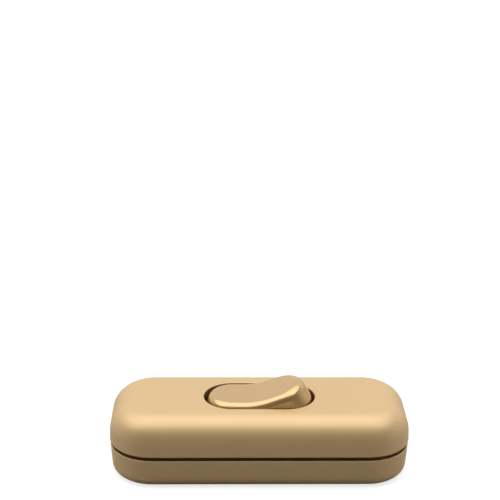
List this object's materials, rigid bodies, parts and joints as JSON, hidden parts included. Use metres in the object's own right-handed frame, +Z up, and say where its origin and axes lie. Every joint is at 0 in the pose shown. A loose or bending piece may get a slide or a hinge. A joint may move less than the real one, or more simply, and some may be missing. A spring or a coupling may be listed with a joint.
{
  "type": "inline cord switch",
  "caption": "Small oblong in-line switch for a lamp cord, two moulded shells with a slot-shaped rocker and a cord inlet at each end.",
  "frame": {"origin": "middle of the underside of the case", "axes": "+X along the cord to the end where the rocker stands up, -Y the front, +Z up through the rocker"},
  "size_m": [0.062, 0.026, 0.0183],
  "materials": {
    "case_gold": "satin gold paint on moulded plastic",
    "rocker_gold": "smooth semi-gloss gold",
    "inner_plastic": "moulded",
    "brass": "pressed",
    "silver_contact": "bright",
    "screw_steel": "zinc plated",
    "spring_steel": "drawn wire"
  },
  "bodies": {
    "case": {"top_cover": "case_gold", "base_shell": "case_gold", "pivot_bracket": "brass", "fixed_contact_strip": "brass", "fixed_contact_rivet": "silver_contact", "live_terminal_left": "brass", "live_terminal_right": "brass", "live_screw_left": "screw_steel", "live_screw_right": "screw_steel", "neutral_link": "brass", "neutral_screw_left": "screw_steel", "neutral_screw_right": "screw_steel", "cord_grip_left": "inner_plastic", "cord_grip_right": "inner_plastic", "grip_screws_left": "screw_steel", "grip_screws_right": "screw_steel", "case_screw_left": "screw_steel", "case_screw_right": "screw_steel"},
    "rocker": {"rocker_button": "rocker_gold", "plunger_spring": "spring_steel"},
    "plunger": {"plunger": "inner_plastic"},
    "blade": {"contact_blade": "brass", "contact_blade_rivet": "silver_contact"}
  },
  "joints": [
    {"name": "rocker_hinge", "type": "hinge", "parent": "case", "child": "rocker", "pos_m": [0, 0, 0.0112], "axis": [0, 1, 0], "range_deg": [0, 20]},
    {"name": "plunger_slide", "type": "slide", "parent": "rocker", "child": "plunger", "axis": [-0.1736, 0, 0.9848], "range_m": [0, 0.0008], "stiffness_N_per_m": 400, "springref_m": -0.002, "deforming": ["plunger_spring"]},
    {"name": "blade_pivot", "type": "hinge", "parent": "case", "child": "blade", "pos_m": [0, 0, 0.0053], "axis": [0, 1, 0], "range_deg": [-14, 0]}
  ],
  "couplings": [
    {"joint": "blade_pivot", "follows": "rocker_hinge", "ratio": -0.7}
  ]
}
